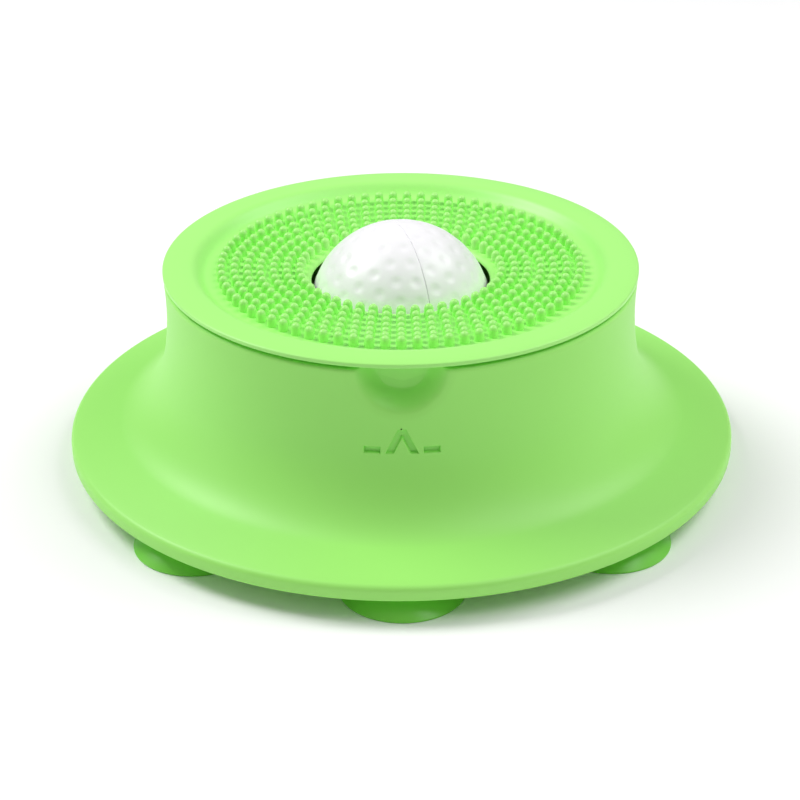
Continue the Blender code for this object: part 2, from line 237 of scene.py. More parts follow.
def mouldedPlastic(name, look, shaderValues):
    # A moulded skin: a slow drift of colour, a fine etched grain, and a gloss that varies with it
    material, tree, shader = plainMaterial(name, shaderValues)
    place = addNode(tree, "ShaderNodeTexCoord").outputs["Object"]
    drift = addNode(tree, "ShaderNodeTexNoise", inputs={
        "Vector": place, "Scale": 1 / look["driftSize"], "Detail": 2.0, "Roughness": 0.5})
    colour = addNode(tree, "ShaderNodeMix", {"data_type": "RGBA"}, {
        "Factor": drift.outputs["Fac"],
        6: linearColour(look["colour"]), 7: linearColour(look["driftColour"])})
    tree.links.new(colour.outputs[2], shader.inputs["Base Color"])
    grain = addNode(tree, "ShaderNodeTexNoise", inputs={
        "Vector": place, "Scale": 1 / look["grainSize"], "Detail": 3.0, "Roughness": 0.6})
    gloss = addNode(tree, "ShaderNodeMapRange", inputs={
        "Value": grain.outputs["Fac"], "To Min": look["roughness"][0], "To Max": look["roughness"][1]})
    tree.links.new(gloss.outputs["Result"], shader.inputs["Roughness"])
    relief = addNode(tree, "ShaderNodeBump", inputs={
        "Strength": look["grainStrength"], "Distance": look["grainDepth"], "Height": grain.outputs["Fac"]})
    tree.links.new(relief.outputs["Normal"], shader.inputs["Normal"])
    return material


# ABS, moulded against a fine spark-eroded steel: satin, the light spreads softly. The grit of the steel is
# about 0.05 mm and is drawn 0.35 mm wide, so that it shows.
absShell = mouldedPlastic("abs_moulded_satin", {
    "colour": "A2F070", "driftColour": "A4F272", "driftSize": 60 * mm,
    "grainSize": 0.35 * mm, "grainStrength": 0.25, "grainDepth": 0.01 * mm, "roughness": (0.42, 0.52),
}, {"IOR": 1.53})

# Thermoplastic elastomer, moulded: soft to the tongue, smooth with small highlights on the nubs. Its grain
# is drawn as coarse as the shell's.
tpeLid = mouldedPlastic("tpe_moulded_smooth", {
    "colour": "ACF880", "driftColour": "AEFA83", "driftSize": 50 * mm,
    "grainSize": 0.35 * mm, "grainStrength": 0.15, "grainDepth": 0.01 * mm, "roughness": (0.34, 0.42),
}, {"IOR": 1.50})

# Soft PVC, injection moulded in a polished tool: glossy, slightly oily look
pvcCup = mouldedPlastic("pvc_soft_gloss", {
    "colour": "7CD848", "driftColour": "78D444", "driftSize": 20 * mm,
    "grainSize": 0.6 * mm, "grainStrength": 0.08, "grainDepth": 0.01 * mm, "roughness": (0.26, 0.36),
}, {"IOR": 1.52})

# ABS, opaque white, polished tool: smooth with a broad soft highlight
absBall = mouldedPlastic("abs_white_polished", {
    "colour": "FCFBFD", "driftColour": "FAF9FC", "driftSize": 15 * mm,
    "grainSize": 0.4 * mm, "grainStrength": 0.10, "grainDepth": 0.01 * mm, "roughness": (0.30, 0.38),
}, {"IOR": 1.53})

# Silicone rubber, moulded matt: milky and soft
siliconeSeal = mouldedPlastic("silicone_moulded_matt", {
    "colour": "DCEBD6", "driftColour": "D6E7D0", "driftSize": 10 * mm,
    "grainSize": 0.4 * mm, "grainStrength": 0.2, "grainDepth": 0.01 * mm, "roughness": (0.5, 0.6),
}, {"IOR": 1.43})


def zincSteel(look):
    # Bright zinc plate on rolled screw steel: cool grey with a cloudy, slightly blue sheen
    material, tree, shader = plainMaterial("zinc_plated_steel", {"Metallic": 1.0})
    place = addNode(tree, "ShaderNodeTexCoord").outputs["Object"]
    cloud = addNode(tree, "ShaderNodeTexNoise", inputs={
        "Vector": place, "Scale": 1 / look["cloudSize"], "Detail": 4.0, "Roughness": 0.6})
    colour = addNode(tree, "ShaderNodeMix", {"data_type": "RGBA"}, {
        "Factor": cloud.outputs["Fac"],
        6: linearColour(look["colour"]), 7: linearColour(look["sheenColour"])})
    tree.links.new(colour.outputs[2], shader.inputs["Base Color"])
    gloss = addNode(tree, "ShaderNodeMapRange", inputs={
        "Value": cloud.outputs["Fac"], "To Min": look["roughness"][0], "To Max": look["roughness"][1]})
    tree.links.new(gloss.outputs["Result"], shader.inputs["Roughness"])
    return material


zincScrew = zincSteel({
    "colour": "B9BCC0", "sheenColour": "A9B0B8", "cloudSize": 1.2 * mm, "roughness": (0.22, 0.38)})
print("materials made")


# Shell of the base: upright rim with a rolled corner, skirt, flare and waisted wall, then the land that the
# lid rests on, the collar and the ledge that carries the bowl

shellLow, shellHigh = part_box("base_shell")
lidLow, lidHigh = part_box("lid")
bowlLow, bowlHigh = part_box("food_bowl")
coverLow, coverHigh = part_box("bottom_cover")
ballLow = Vector(map(min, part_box("ball_half_left")[0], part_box("ball_half_right")[0]))
ballHigh = Vector(map(max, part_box("ball_half_left")[1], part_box("ball_half_right")[1]))
ballRadius = (ballHigh.z - ballLow.z) / 2
ballCentre = Vector((0.0, 0.0, (ballHigh.z + ballLow.z) / 2))

shell = {
    "wall": 2.2 * mm,
    "topRadius": lidHigh.x - 0.05 * mm,
    "waistRadius": lidHigh.x - 0.5 * mm,
    "footRadius": lidHigh.x + 0.6 * mm,
    "footHeight": shellLow.z + 23.0 * mm,
    "waistHeight": shellLow.z + 36.0 * mm,
    "corner": 0.9 * mm,
    "rebate": 0.45 * mm,  # the land's outer part lies this much lower, so a dark line shows under the lid
    "rebateWidth": 1.4 * mm,
    "rebateSlope": 0.3 * mm,
    "skirtRadius": shellHigh.x - 12.0 * mm,
    "skirtSlope": 15.0,
    "rimFace": 2.2 * mm,
    "roll": 1.6 * mm,
    "rimEdge": 0.5 * mm,
    "rimBand": 5.0 * mm,
    "collarRadius": bowlHigh.x + 0.3 * mm,
    "collarWall": 1.8 * mm,
    "ledgeTop": shellHigh.z - 6.8 * mm,
    "ledge": 1.8 * mm,
    "ledgeThickness": 1.6 * mm,
    "fillet": 0.3 * mm,
    "landFillet": 0.4 * mm,
    "coarseStep": 1.5,  # degrees between columns, finer at the notch and the mark
    "fineStep": 0.3,
    "fineHalf": 15.0,
    "rowHeight": 0.45 * mm,
}

notch = {
    "halfWidth": 12.8 * mm,
    "height": 13.0 * mm,
    "lipDepth": 0.6 * mm,
    "lipStart": 0.70,
    "wellDepth": 4.6 * mm,
    "wellFloor": 0.50,
    "wellEdge": 0.86,
}

mark = {
    "width": 17.2 * mm,
    "height": 5.6 * mm,
    "drop": 17.8 * mm,
    "chevronWidth": 7.4 * mm,
    "chevronStroke": 1.8 * mm,
    "space": 1.2 * mm,
    "bar": 1.5 * mm,
    "depth": 1.0 * mm,
    "draft": 0.12 * mm,
    "lip": 0.14 * mm,
    "slice": 0.6 * mm,
}


def wallRadius(height):
    # The wall has a slight waist between its foot and its top
    waist, middle = shell["waistRadius"], shell["waistHeight"]
    if height < middle:
        share = (middle - height) / (middle - shell["footHeight"])
        return waist + (shell["footRadius"] - waist) * share ** 2
    share = (height - middle) / (shellHigh.z - middle)
    return waist + (shell["topRadius"] - waist) * share ** 2


def shellOutside():
    # From the rim's lower edge up to where the land begins
    turn = 90.0 - shell["skirtSlope"]
    rollCentre = Vector((shellHigh.x - shell["roll"], shellLow.z + shell["rimFace"]))
    roll = [rollCentre + polar(shell["roll"], turn * i / 8) for i in range(9)]
    low = Vector((shellHigh.x - shell["rimEdge"], shellLow.z))
    faceFoot = Vector((shellHigh.x, shellLow.z + shell["rimEdge"]))
    lower = bend(low, Vector((shellHigh.x, shellLow.z)), faceFoot, 4)
    along = polar(1.0, -shell["skirtSlope"])
    foot = roll[-1] - along * ((roll[-1].x - shell["skirtRadius"]) / along.x)
    skirt = divided([roll[-1], foot], 2 * mm)
    wallTop = shellHigh.z - shell["rebate"]
    rows = round((wallTop - shell["corner"] - shell["footHeight"]) / shell["rowHeight"])
    heights = [shell["footHeight"] + i * shell["rowHeight"] for i in range(rows + 1)]
    wall = [Vector((wallRadius(height), height)) for height in heights]
    upright = wall[1] - wall[0]
    corner = foot + along * ((wall[0] - foot).cross(upright) / along.cross(upright))
    flare = bend(foot, corner, wall[0], 22)
    top = wallRadius(wallTop)
    edge = bend(wall[-1], Vector((top, wallTop)), Vector((top - shell["corner"], wallTop)), 6)
    return [*lower, *roll[:-1], *skirt[:-1], *flare[:-1], *wall[:-1], *edge]


def shellInside(outside):
    # The outside set in by the wall, between the solid rim band and the collar
    line = []
    for i, point in enumerate(outside):
        along = outside[min(i + 1, len(outside) - 1)] - outside[max(i - 1, 0)]
        line.append(point + Vector((-along.y, along.x)).normalized() * shell["wall"])
    landUnder = shellHigh.z - shell["rebate"] - shell["wall"]
    band = shellHigh.x - shell["rimBand"]
    kept = [p for p in line if p.x < band and p.y < landUnder]
    kept = [p for p in kept if p.x > shell["collarRadius"] + shell["collarWall"] + 0.4 * mm]
    kept = [Vector((band, kept[0].y)), *kept[1:]]
    return [*kept, Vector((kept[-1].x, landUnder))]


def shellColumns():
    half = shell["fineHalf"]
    fine = round(2 * half / shell["fineStep"])
    coarse = round((360.0 - 2 * half) / shell["coarseStep"])
    near = [front - half + 2 * half * i / fine for i in range(fine)]
    far = [front + half + (360.0 - 2 * half) * i / coarse for i in range(coarse)]
    return near + far


def scoopDepth(across, height):
    # A thumb's well with a rounded lip round it
    drop = max(shellHigh.z - height, 0.0)
    reach = math.hypot(across / notch["halfWidth"], drop / notch["height"])
    lip = notch["lipDepth"] * (1 - smoothStep(notch["lipStart"], 1.0, reach))
    return lip + notch["wellDepth"] * (1 - smoothStep(notch["wellFloor"], notch["wellEdge"], reach))


def scoopNotch(mesh):
    # Presses the wall and its top edge inwards where a thumb reaches under the lid. Everything between the
    # collar's face and the wall's is squeezed, so that nothing crosses.
    still = shell["collarRadius"] + 0.2 * mm
    for vert in mesh.vertices:
        radius = math.hypot(vert.co.x, vert.co.y)
        if vert.co.z < shell["footHeight"] or radius <= still:
            continue
        across = math.atan2(vert.co.x, -vert.co.y) * shell["topRadius"]
        share = min((radius - still) / (wallRadius(vert.co.z) - still), 1.0)
        moved = radius - scoopDepth(across, vert.co.z) * share
        vert.co.x *= moved / radius
        vert.co.y *= moved / radius


def markOutlines():
    # On each side a stroke of the chevron and a bar
    half = mark["height"] / 2
    reach = mark["chevronWidth"] / 2
    stroke = mark["chevronStroke"]
    outlines = []
    for side in (-1, 1):
        left, right = sorted((side * reach, side * (reach - stroke)))
        outlines.append([(left, -half), (right, -half), (stroke / 2, half), (-stroke / 2, half)])
        left, right = sorted((side * (reach + mark["space"]), side * mark["width"] / 2))
        top = mark["bar"] - half
        outlines.append([(left, -half), (right, -half), (right, top), (left, top)])
    return outlines


def grown(outline, distance):
    # A convex outline, anticlockwise, moved outwards by distance
    moved = []
    for i, point in enumerate(outline):
        here = Vector(point)
        before = (here - Vector(outline[i - 1])).normalized()
        after = (Vector(outline[(i + 1) % len(outline)]) - here).normalized()
        normals = [Vector((d.y, -d.x)) for d in (before, after)]
        middle = (normals[0] + normals[1]).normalized()
        moved.append(here + middle * (distance / middle.dot(normals[0])))
    return moved


def markPunch(outline):
    # The punch is built flat as (across, up, out), sliced, and wrapped onto the wall
    shape = bmesh.new()
    levels = [  # (out from the wall, how much the outline grows)
        (-mark["depth"], -mark["draft"]),
        (-mark["lip"], 0.0),
        (0.0, mark["lip"]),
        (1 * mm, 0.5 * mm),
    ]
    rings = [[shape.verts.new((*p, out)) for p in grown(outline, more)] for out, more in levels]
    count = len(outline)
    for low, high in zip(rings, rings[1:]):
        for i in range(count):
            k = (i + 1) % count
            shape.faces.new((low[i], low[k], high[k], high[i]))
    shape.faces.new(list(reversed(rings[0])))
    shape.faces.new(rings[-1])
    slices = round(mark["width"] / mark["slice"])
    for i in range(-slices, slices + 1):
        parts = shape.verts[:] + shape.edges[:] + shape.faces[:]
        place = (i * mark["slice"] / 2, 0, 0)
        bmesh.ops.bisect_plane(shape, geom=parts, plane_co=place, plane_no=(1, 0, 0))
    middle = shellHigh.z - mark["drop"]
    for vert in shape.verts:
        height = middle + vert.co.y
        angle = front + math.degrees(vert.co.x / wallRadius(middle))
        vert.co = (*polar(wallRadius(height) + vert.co.z, angle), height)
    return closedMesh("mark_punch", shape)


def cutWith(piece, meshes):
    for mesh in meshes:
        tool = bpy.data.objects.new("tool", mesh)
        bpy.context.scene.collection.objects.link(tool)
        step = piece.modifiers.new("cut", "BOOLEAN")
        step.operation = "DIFFERENCE"
        step.solver = "EXACT"
        step.object = tool
    settled(piece)
    for thing in [o for o in bpy.data.objects if o.name.startswith("tool")]:
        bpy.data.objects.remove(thing)


def disc(radius, low, high, centre):
    # A round punch, upright at its centre
    corners = [(0.0, low, 0.0), (radius, low, 0.0), (radius, high, 0.0), (0.0, high, 0.0)]
    mesh = turned("disc", rounded(corners), evenAngles(32))
    mesh.transform(Matrix.Translation((*centre, 0.0)))
    return mesh


screwBoxes = [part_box(f"cover_screw_{i + 1}") for i in range(4)]
screwPlaces = [((low + high) / 2).to_2d() for low, high in screwBoxes]
cupBoxes = [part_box(f"suction_cup_{i + 1}") for i in range(8)]


def makeShell():
    outside = shellOutside()
    inside = shellInside(outside)
    collar = shell["collarRadius"]
    collarOuter = collar + shell["collarWall"]
    ledgeEdge = collar - shell["ledge"]
    ledgeUnder = shell["ledgeTop"] - shell["ledgeThickness"]
    landUnder = shellHigh.z - shell["rebate"] - shell["wall"]
    # The lid rests on the inner part of the land, a rebate above the outer part
    step = Vector((outside[-1].x - shell["rebateWidth"], outside[-1].y))
    landEdge = Vector((step.x - shell["rebateSlope"], shellHigh.z))
    landEnd = Vector((collar + shell["landFillet"], shellHigh.z))
    land = divided([outside[-1], step, landEdge, landEnd], 0.5 * mm)[1:]
    fillet = shell["fillet"]
    inner = rounded([
        (collar, shellHigh.z, shell["landFillet"]),
        (collar, shell["ledgeTop"], fillet),
        (ledgeEdge, shell["ledgeTop"], fillet),
        (ledgeEdge, ledgeUnder, fillet),
        (collarOuter, ledgeUnder, fillet),
        (collarOuter, landUnder, 0.0),
    ])
    profile = [*outside, *land[:-1], *inner, *reversed(inside), Vector((inside[0].x, shellLow.z))]
    mesh = turned("base_shell_moulding", profile, shellColumns())
    scoopNotch(mesh)
    piece = addPiece("base_shell_moulding", mesh, absShell)
    cutWith(piece, [markPunch(outline) for outline in markOutlines()])
    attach(piece, "base")
    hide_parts("base_shell")


makeShell()
print("shell made")


# Lid: one moulding with a low upright edge, a dished top with rings of nubs, and a plug that fits the collar

lid = {
    "crownWidth": 3.2 * mm,
    "crownHeight": 1.4 * mm,
    "underRound": 0.15 * mm,
    "sideHeight": 0.75 * mm,
    "shoulderWidth": 0.5 * mm,
    "shoulderHeight": 0.35 * mm,
    "dishOuter": lidHigh.x - 5.9 * mm,
    "dishInner": lidHigh.x - 11.7 * mm,
    "dishDepth": 2.9 * mm,
    "holeDrop": 1.5 * mm,
    "holeRadius": ballRadius - 0.6 * mm,
    "holeLip": 1.6 * mm,
    "holeRound": 1.1 * mm,
    "wall": 1.8 * mm,
    "plugWall": 1.7 * mm,
    "sealThickness": 1.1 * mm,
    "sealGap": 0.3 * mm,
    "fillet": 0.3 * mm,
}

nubs = {
    "rings": 7,
    "firstRadius": ballRadius + 2.2 * mm,
    "pitch": 3.17 * mm,
    "firstCount": 47,
    "countStep": 2.34,
    "tipDrop": 0.1 * mm,
    "tipRise": 1.25 * mm,
    "tipRadius": 1.12 * mm,
    "footRadius": 1.2 * mm,
    "length": 3.3 * mm,
    "sides": 12,
}

sealLow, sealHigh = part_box("lid_seal")


def makeLid():
    crown = lidHigh.z
    underside = crown - lid["crownHeight"]
    floorOuter = crown - lid["dishDepth"]
    floorInner = floorOuter - lid["holeDrop"]
    outer = Vector((lidHigh.x, underside + lid["underRound"]))
    side = Vector((lidHigh.x, underside + lid["sideHeight"]))
    shoulder = side + Vector((-lid["shoulderWidth"], lid["shoulderHeight"]))
    crownEnd = Vector((lidHigh.x - lid["crownWidth"], crown))
    bent = bend(side, Vector((side.x, shoulder.y - 0.05 * mm)), shoulder, 6)
    edge = [outer, *bent[:-1], *bend(shoulder, Vector((shoulder.x - 1.2 * mm, crown)), crownEnd, 8)]
    dishEdge = Vector((lid["dishOuter"], crown))
    dishFoot = Vector((lid["dishInner"], floorOuter))
    middle = (lid["dishOuter"] + lid["dishInner"]) / 2
    dish = interpolate_bezier(dishEdge, Vector((middle, crown)), Vector((middle, floorOuter)), dishFoot, 15)
    dish = [point.to_2d() for point in dish]
    under = floorInner - lid["wall"]
    gap, fillet = lid["sealGap"], lid["fillet"]
    plugOuter = sealHigh.x - lid["sealThickness"] / 2 - gap
    plugInner = plugOuter - lid["plugWall"]
    groove = sealHigh.x - lid["sealThickness"] - gap
    hole = lid["holeRadius"]
    slope = lid["holeDrop"] / (lid["dishInner"] - hole)
    roundStart = Vector((hole + lid["holeLip"], floorInner + lid["holeLip"] * slope))
    lip = bend(roundStart, Vector((hole, floorInner)), Vector((hole, floorInner - lid["holeRound"])), 7)
    low = rounded([
        (hole, under, fillet),
        (plugInner, under, 0.5 * mm),
        (plugInner, lidLow.z, 0.4 * mm),
        (plugOuter, lidLow.z, 0.5 * mm),
        (plugOuter, sealLow.z - gap, 0.1 * mm),
        (groove, sealLow.z - gap, 0.0),
        (groove, sealHigh.z + gap, 0.0),
        (plugOuter, sealHigh.z + gap, 0.1 * mm),
        (plugOuter, underside, fillet),
        (lidHigh.x - lid["underRound"], underside, 0.0),
    ])
    profile = [*edge, *dish, *lip, *low]
    piece = addPiece("lid_moulding", turned("lid_moulding", profile, evenAngles(240)), tpeLid)
    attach(piece, "lid")
    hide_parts("lid")


def nubTree():
    # Rings of points, each with an odd count and its first point at the front, and a nub on every point
    tree, given, end = nodeTree("nub_rings", [
        ("Rings", "NodeSocketInt", 7),
        ("First Radius", "NodeSocketFloat", 0.02),
        ("Pitch", "NodeSocketFloat", 0.003),
        ("First Count", "NodeSocketInt", 47),
        ("Count Step", "NodeSocketFloat", 2.0),
        ("Last Tip", "NodeSocketFloat", 0.05),
        ("Tip Rise", "NodeSocketFloat", 0.001),
        ("Material", "NodeSocketMaterial", None),
    ])
    again = tree.nodes.new("GeometryNodeRepeatInput")
    last = tree.nodes.new("GeometryNodeRepeatOutput")
    again.pair_with_output(last)
    last.repeat_items.new("INT", "Ring")
    tree.links.new(given["Rings"], again.inputs["Iterations"])
    ring = again.outputs["Ring"]
    more = addNode(tree, "ShaderNodeMath", {"operation": "MULTIPLY"}, {0: ring, 1: given["Count Step"]})
    whole = addNode(tree, "ShaderNodeMath", {"operation": "FLOOR"}, {0: more.outputs[0]})
    count = addNode(tree, "ShaderNodeMath", {"operation": "MULTIPLY_ADD"}, {
        0: whole.outputs[0], 1: 2.0, 2: given["First Count"]})
    radius = addNode(tree, "ShaderNodeMath", {"operation": "MULTIPLY_ADD"}, {
        0: ring, 1: given["Pitch"], 2: given["First Radius"]})
    circle = addNode(tree, "GeometryNodeMeshCircle", inputs={
        "Vertices": count.outputs[0], "Radius": radius.outputs[0]})
    # The tips climb outwards, slowly at first
    outermost = addNode(tree, "ShaderNodeMath", {"operation": "SUBTRACT"}, {0: given["Rings"], 1: 1.0})
    share = addNode(tree, "ShaderNodeMath", {"operation": "DIVIDE"}, {0: ring, 1: outermost.outputs[0]})
    cubed = addNode(tree, "ShaderNodeMath", {"operation": "POWER"}, {0: share.outputs[0], 1: 3.0})
    climb = addNode(tree, "ShaderNodeMath", {"operation": "SUBTRACT"}, {0: cubed.outputs[0], 1: 1.0})
    tip = addNode(tree, "ShaderNodeMath", {"operation": "MULTIPLY_ADD"}, {
        0: climb.outputs[0], 1: given["Tip Rise"], 2: given["Last Tip"]})
    lift = addNode(tree, "ShaderNodeCombineXYZ", inputs={"Z": tip.outputs[0]})
    lifted = addNode(tree, "GeometryNodeTransform", inputs={
        "Geometry": circle.outputs["Mesh"], "Translation": lift.outputs[0]})
    joined = addNode(tree, "GeometryNodeJoinGeometry", inputs={0: lifted.outputs[0]})
    tree.links.new(again.outputs["Geometry"], joined.inputs[0])
    tree.links.new(joined.outputs[0], last.inputs["Geometry"])
    following = addNode(tree, "ShaderNodeMath", {"operation": "ADD"}, {0: ring, 1: 1.0})
    tree.links.new(following.outputs[0], last.inputs["Ring"])
    placed = addNode(tree, "GeometryNodeTransform", inputs={
        "Geometry": last.outputs["Geometry"], "Rotation": (0.0, 0.0, math.radians(front))})
    copies = addNode(tree, "GeometryNodeInstanceOnPoints", inputs={
        "Points": placed.outputs[0], "Instance": given["Geometry"]})
    real = addNode(tree, "GeometryNodeRealizeInstances", inputs={"Geometry": copies.outputs[0]})
    painted = addNode(tree, "GeometryNodeSetMaterial", inputs={
        "Geometry": real.outputs[0], "Material": given["Material"]})
    tree.links.new(painted.outputs[0], end)
    return tree


def makeNubs():
    tip = nubs["tipRadius"]
    dome = [Vector((0.0, -tip)) + polar(tip, 90.0 - 90.0 * i / 3) for i in range(4)]
    dome[0].x = 0.0
    profile = [*dome, Vector((nubs["footRadius"], -nubs["length"])), Vector((0.0, -nubs["length"]))]
    piece = addPiece("lid_nubs", turned("nub", profile, evenAngles(nubs["sides"])), tpeLid, 60.0)
    grow(piece, nubTree(), {
        "Rings": nubs["rings"],
        "First Radius": nubs["firstRadius"],
        "Pitch": nubs["pitch"],
        "First Count": nubs["firstCount"],
        "Count Step": nubs["countStep"],
        "Last Tip": lidHigh.z - nubs["tipDrop"],
        "Tip Rise": nubs["tipRise"],
        "Material": tpeLid,
    })
    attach(piece, "lid")


makeLid()
makeNubs()
print("lid made")


# Ball: two welded halves with shallow round dimples in rows beside the seam

ball = {
    "wall": 2.0 * mm,
    "seamTurn": 20.0,
    "seamHalf": 0.05 * mm,
    "seamRound": 0.10 * mm,
    "rows": 7,
    "firstRow": 5.8,
    "rowStep": 11.6,
    "perTurn": 28.0,
    "startTurn": 54.5,
    "dimpleRadius": 1.95 * mm,
    "dimpleDepth": 0.24 * mm,
    "meshStep": 0.9,
}


def dimpleTree():
    # Rows of points round X, and every vertex near a point sunk towards the ball's middle
    tree, given, end = nodeTree("dimples", [
        ("Rows", "NodeSocketInt", 7),
        ("Ball Radius", "NodeSocketFloat", 0.02),
        ("First Row", "NodeSocketFloat", 0.1),
        ("Row Step", "NodeSocketFloat", 0.2),
        ("Per Turn", "NodeSocketFloat", 28.0),
        ("Start Turn", "NodeSocketFloat", 0.0),
        ("Dimple Radius", "NodeSocketFloat", 0.0017),
        ("Dimple Depth", "NodeSocketFloat", 0.0002),
        ("Material", "NodeSocketMaterial", None),
    ])
    again = tree.nodes.new("GeometryNodeRepeatInput")
    last = tree.nodes.new("GeometryNodeRepeatOutput")
    again.pair_with_output(last)
    last.repeat_items.new("INT", "Row")
    tree.links.new(given["Rows"], again.inputs["Iterations"])
    row = again.outputs["Row"]
    rise = addNode(tree, "ShaderNodeMath", {"operation": "MULTIPLY_ADD"}, {
        0: row, 1: given["Row Step"], 2: given["First Row"]})
    cosine = addNode(tree, "ShaderNodeMath", {"operation": "COSINE"}, {0: rise.outputs[0]})
    sine = addNode(tree, "ShaderNodeMath", {"operation": "SINE"}, {0: rise.outputs[0]})
    wanted = addNode(tree, "ShaderNodeMath", {"operation": "MULTIPLY"}, {
        0: cosine.outputs[0], 1: given["Per Turn"]})
    count = addNode(tree, "ShaderNodeMath", {"operation": "ROUND"}, {0: wanted.outputs[0]})
    radius = addNode(tree, "ShaderNodeMath", {"operation": "MULTIPLY"}, {
        0: cosine.outputs[0], 1: given["Ball Radius"]})
    height = addNode(tree, "ShaderNodeMath", {"operation": "MULTIPLY"}, {
        0: sine.outputs[0], 1: given["Ball Radius"]})
    circle = addNode(tree, "GeometryNodeMeshCircle", inputs={
        "Vertices": count.outputs[0], "Radius": radius.outputs[0]})
    lift = addNode(tree, "ShaderNodeCombineXYZ", inputs={"Z": height.outputs[0]})
    spun = addNode(tree, "ShaderNodeCombineXYZ", inputs={"Z": given["Start Turn"]})
    placed = addNode(tree, "GeometryNodeTransform", inputs={
        "Geometry": circle.outputs["Mesh"], "Translation": lift.outputs[0], "Rotation": spun.outputs[0]})
    joined = addNode(tree, "GeometryNodeJoinGeometry", inputs={0: placed.outputs[0]})
    tree.links.new(again.outputs["Geometry"], joined.inputs[0])
    tree.links.new(joined.outputs[0], last.inputs["Geometry"])
    following = addNode(tree, "ShaderNodeMath", {"operation": "ADD"}, {0: row, 1: 1.0})
    tree.links.new(following.outputs[0], last.inputs["Row"])

    near = addNode(tree, "GeometryNodeProximity", {"target_element": "POINTS"}, {0: last.outputs["Geometry"]})
    fall = addNode(tree, "ShaderNodeMapRange", {"interpolation_type": "SMOOTHSTEP"}, {
        "Value": near.outputs["Distance"], "From Min": 0.0, "From Max": given["Dimple Radius"],
        "To Min": given["Dimple Depth"], "To Max": 0.0})
    place = addNode(tree, "GeometryNodeInputPosition")
    outwards = addNode(tree, "ShaderNodeVectorMath", {"operation": "NORMALIZE"}, {0: place.outputs[0]})
    inwards = addNode(tree, "ShaderNodeMath", {"operation": "MULTIPLY"}, {0: fall.outputs[0], 1: -1.0})
    shift = addNode(tree, "ShaderNodeVectorMath", {"operation": "SCALE"}, {
        0: outwards.outputs[0], "Scale": inwards.outputs[0]})
    sunk = addNode(tree, "GeometryNodeSetPosition", inputs={
        "Geometry": given["Geometry"], "Offset": shift.outputs[0]})
    real = addNode(tree, "GeometryNodeRealizeInstances", inputs={"Geometry": sunk.outputs[0]})
    painted = addNode(tree, "GeometryNodeSetMaterial", inputs={
        "Geometry": real.outputs[0], "Material": given["Material"]})
    tree.links.new(painted.outputs[0], end)
    return tree


def halfProfile():
    # Outer and inner wall of a half, from the seam to the pole, with the half's axis along Z
    edge = ball["seamHalf"] + ball["seamRound"]
    start = math.degrees(math.asin(edge / ballRadius))
    steps = round((90.0 - start) / ball["meshStep"])
    outer = [polar(ballRadius, start + (90.0 - start) * i / steps) for i in range(steps + 1)]
    outer[-1].x = 0.0
    innerRadius = ballRadius - ball["wall"]
    innerStart = math.degrees(math.asin(ball["seamHalf"] / innerRadius))
    inner = [polar(innerRadius, 90.0 - (90.0 - innerStart) * i / 24) for i in range(25)]
    inner[0].x = 0.0
    corner = Vector((ballRadius - 0.01 * mm, ball["seamHalf"]))
    seamEdge = bend(Vector((ballRadius - ball["seamRound"], ball["seamHalf"])), corner, outer[0], 3)
    return [*outer, *inner, *seamEdge[:-1]]


def makeBall():
    tree = dimpleTree()
    for side, turn in (("left", 180.0), ("right", 0.0)):
        name = f"ball_shell_{side}"
        mesh = turned(name, halfProfile(), evenAngles(round(360.0 / ball["meshStep"] / 1.25)))
        piece = addPiece(name, mesh, absBall, 50.0)
        grow(piece, tree, {
            "Rows": ball["rows"],
            "Ball Radius": ballRadius,
            "First Row": math.radians(ball["firstRow"]),
            "Row Step": math.radians(ball["rowStep"]),
            "Per Turn": ball["perTurn"],
            "Start Turn": math.radians(ball["startTurn"]),
            "Dimple Radius": ball["dimpleRadius"],
            "Dimple Depth": ball["dimpleDepth"],
            "Material": absBall,
        })
        piece.data.transform(Matrix.Rotation(math.radians(90.0), 4, "Y"))
        piece.data.transform(Matrix.Rotation(math.radians(turn + ball["seamTurn"]), 4, "Z"))
        piece.data.transform(Matrix.Translation(ballCentre))
        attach(piece, "ball")
        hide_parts(f"ball_half_{side}")


makeBall()
print("ball made")


# Suction cups, pressed into the bottom cover

cup = {
    "radius": (cupBoxes[0][1].x - cupBoxes[0][0].x) / 2,
    "lip": 0.5 * mm,
    "lipFlat": 1.4 * mm,
    "wall": 1.5 * mm,
    "padRadius": 6.5 * mm,
    "shoulder": 3.5 * mm,
    "hollow": 7.3 * mm,
    "neckRadius": 3.2 * mm,
    "headRadius": 4.8 * mm,
    "headFlat": 2.9 * mm,
    "padTop": coverLow.z - 0.3 * mm,
    "headBottom": coverHigh.z + 0.3 * mm,
    "headTop": cupBoxes[0][1].z,
    "ring": (cupBoxes[4][1].y - cupBoxes[0][0].y) / 2,
}


